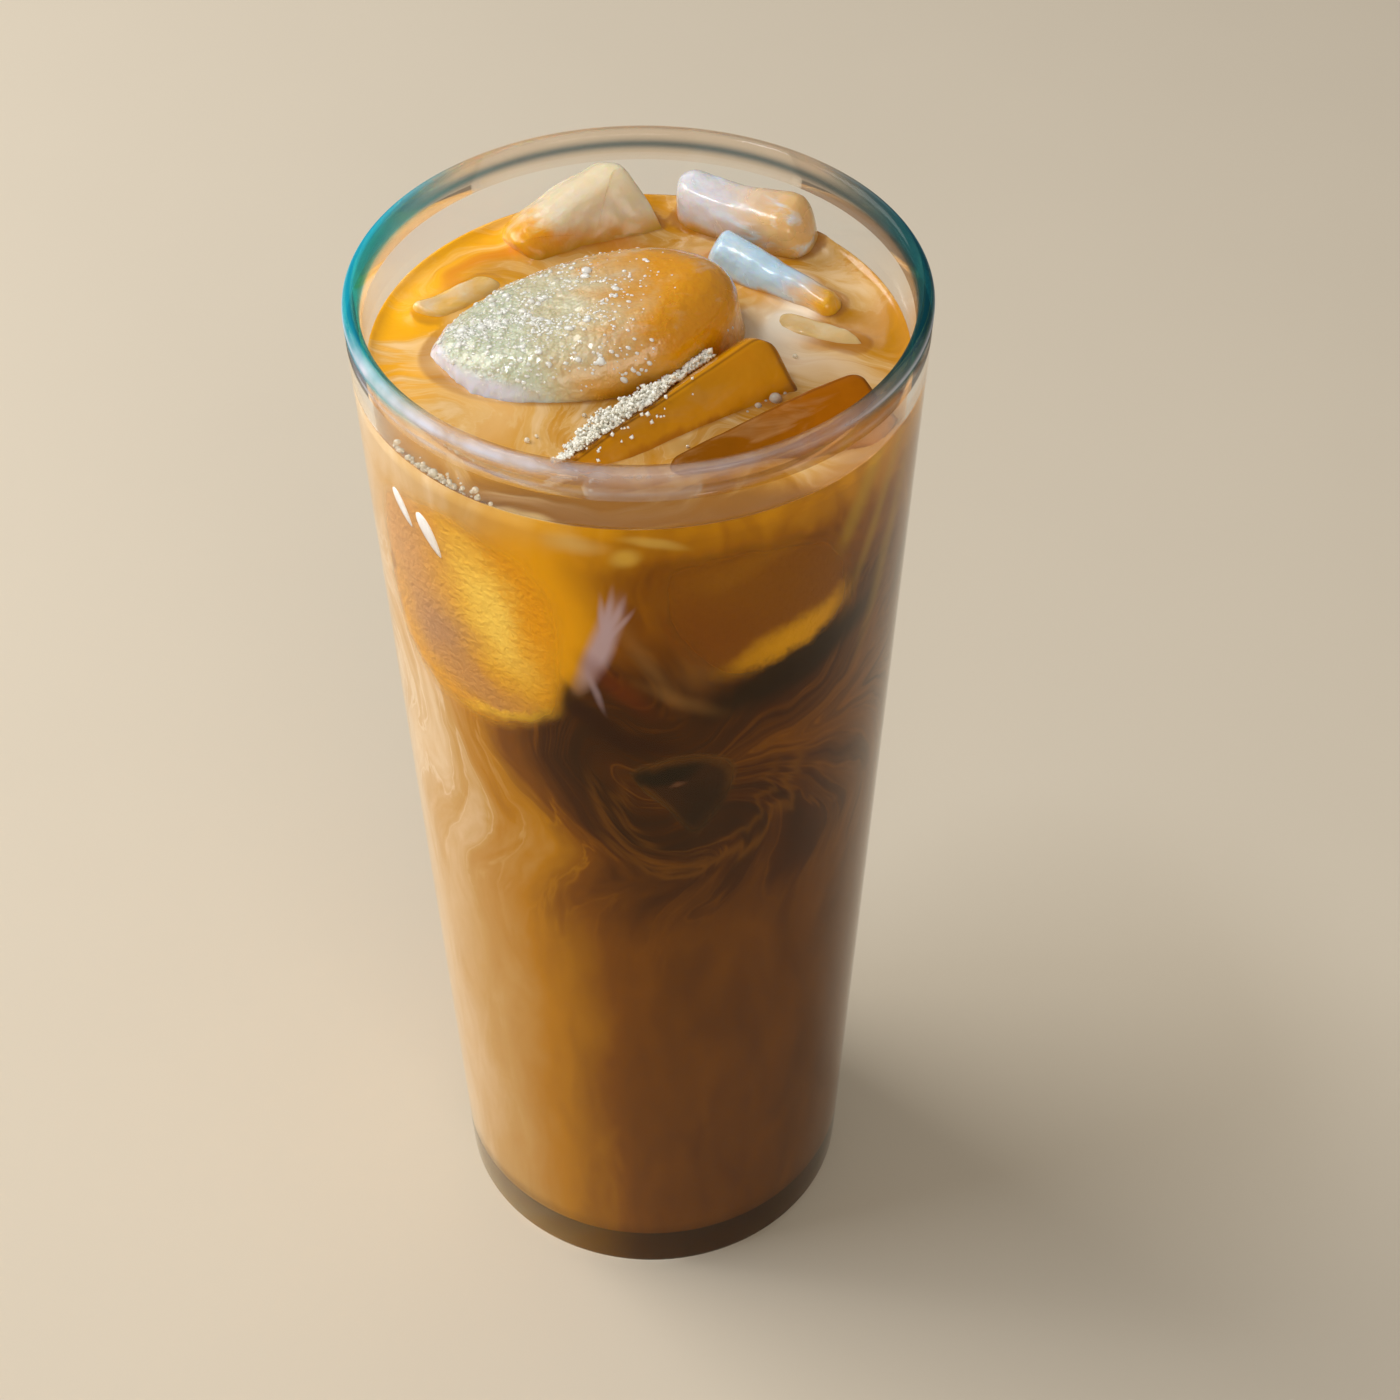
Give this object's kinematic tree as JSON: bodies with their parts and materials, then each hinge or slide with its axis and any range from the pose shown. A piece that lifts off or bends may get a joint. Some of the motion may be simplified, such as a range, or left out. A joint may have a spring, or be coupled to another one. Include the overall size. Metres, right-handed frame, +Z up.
{
  "type": "iced coffee",
  "caption": "Iced coffee with cream in a tall tapered glass tumbler, with ice floating at the top.",
  "frame": {"origin": "middle of the underside of the glass, on the surface it stands on", "axes": "+Z up along the glass's axis; -Y is the front, from which the drink is looked at; +X to the right"},
  "size_m": [0.072, 0.072, 0.1628],
  "materials": {
    "clear_glass": "clear, with a faint green-blue edge",
    "milky_coffee": "opaque liquid, marbled caramel, amber and cream",
    "ice": "melting ice, wet and partly frosted, stained amber by the drink"
  },
  "bodies": {
    "root": {"glass": "clear_glass", "coffee": "milky_coffee", "ice_loaf": "ice", "ice_slab_front": "ice", "ice_slab_right": "ice", "ice_peak": "ice", "ice_back": "ice", "ice_bar": "ice", "ice_low": "ice", "ice_left": "ice"}
  },
  "joints": []
}
